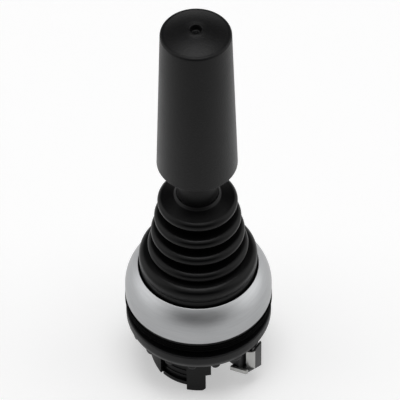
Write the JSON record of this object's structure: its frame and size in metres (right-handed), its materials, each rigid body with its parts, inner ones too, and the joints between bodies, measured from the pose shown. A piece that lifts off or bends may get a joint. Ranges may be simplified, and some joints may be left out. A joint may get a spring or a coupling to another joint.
{
  "type": "industrial joystick",
  "caption": "Panel-mounted two-axis joystick with a tapered grip, ribbed bellows, convex metal bezel, panel seal and ring nut on a threaded neck.",
  "frame": {"origin": "centre of the seal's underside, where it meets the panel's front face", "axes": "+Z along the lever at rest, away from the panel; -Y towards the operator; +X to the operator's right"},
  "size_m": [0.0298, 0.0298, 0.0935],
  "materials": {
    "satin_metal": "satin, finely brushed round the axis",
    "grip_plastic": "fine matt texture",
    "body_plastic": "moulded, slight sheen",
    "nut_plastic": "moulded, dark grey",
    "boot_rubber": "soft satin rubber",
    "seal_rubber": "matt rubber",
    "steel": "turned",
    "spring_steel": "bright wire",
    "clip_metal": "stamped sheet, dull nickel",
    "brass": "turned brass",
    "bronze": "sintered bronze",
    "plunger_plastic": "smooth natural plastic"
  },
  "bodies": {
    "housing": {"housing_body": "body_plastic", "bezel_ring": "satin_metal", "panel_seal": "seal_rubber", "clip_holder": "body_plastic", "locking_clip": "clip_metal", "bellows": "boot_rubber", "boot_ring": "steel", "pivot_carrier": "body_plastic", "bearing_bushes": "bronze", "return_spring": "spring_steel", "gate_plate": "plunger_plastic", "rear_guide": "body_plastic", "guide_screws": "steel", "plunger_spring_front": "spring_steel", "plunger_spring_back": "spring_steel", "plunger_spring_left": "spring_steel", "plunger_spring_right": "spring_steel"},
    "ring_nut": {"fixing_ring": "nut_plastic"},
    "gimbal": {"gimbal_ring": "steel", "trunnion_pins": "steel"},
    "lever": {"lever_shaft": "steel", "cross_pin": "steel", "rocker_plate": "steel", "shaft_circlip": "spring_steel", "spring_stop": "steel", "collar_sleeve": "grip_plastic", "handle_insert": "brass", "handle_grip": "grip_plastic"},
    "plunger_front": {"plunger_front": "plunger_plastic"},
    "plunger_back": {"plunger_back": "plunger_plastic"},
    "plunger_left": {"plunger_left": "plunger_plastic"},
    "plunger_right": {"plunger_right": "plunger_plastic"}
  },
  "joints": [
    {"name": "tilt_x", "type": "hinge", "parent": "housing", "child": "gimbal", "pos_m": [0, 0, 0.004], "axis": [1, 0, 0], "range_deg": [-15, 15], "stiffness_Nm_per_rad": 0.6, "deforming": ["bellows", "return_spring"]},
    {"name": "tilt_y", "type": "hinge", "parent": "gimbal", "child": "lever", "pos_m": [0, 0, 0.004], "axis": [0, 1, 0], "range_deg": [-15, 15], "stiffness_Nm_per_rad": 0.6},
    {"name": "nut_turn", "type": "hinge", "parent": "housing", "child": "ring_nut", "pos_m": [0, 0, -0.0039], "axis": [0, 0, 1], "continuous": true},
    {"name": "front_plunger_slide", "type": "slide", "parent": "housing", "child": "plunger_front", "axis": [0, 0, 1], "range_m": [-0.00195, 0.00195], "deforming": ["plunger_spring_front"]},
    {"name": "back_plunger_slide", "type": "slide", "parent": "housing", "child": "plunger_back", "axis": [0, 0, 1], "range_m": [-0.00195, 0.00195], "deforming": ["plunger_spring_back"]},
    {"name": "left_plunger_slide", "type": "slide", "parent": "housing", "child": "plunger_left", "axis": [0, 0, 1], "range_m": [-0.00195, 0.00195], "deforming": ["plunger_spring_left"]},
    {"name": "right_plunger_slide", "type": "slide", "parent": "housing", "child": "plunger_right", "axis": [0, 0, 1], "range_m": [-0.00195, 0.00195], "deforming": ["plunger_spring_right"]}
  ],
  "couplings": [
    {"joint": "front_plunger_slide", "follows": "tilt_x", "m_per_rad": -0.00742},
    {"joint": "back_plunger_slide", "follows": "tilt_x", "m_per_rad": 0.00742},
    {"joint": "right_plunger_slide", "follows": "tilt_y", "m_per_rad": -0.00742},
    {"joint": "left_plunger_slide", "follows": "tilt_y", "m_per_rad": 0.00742}
  ]
}
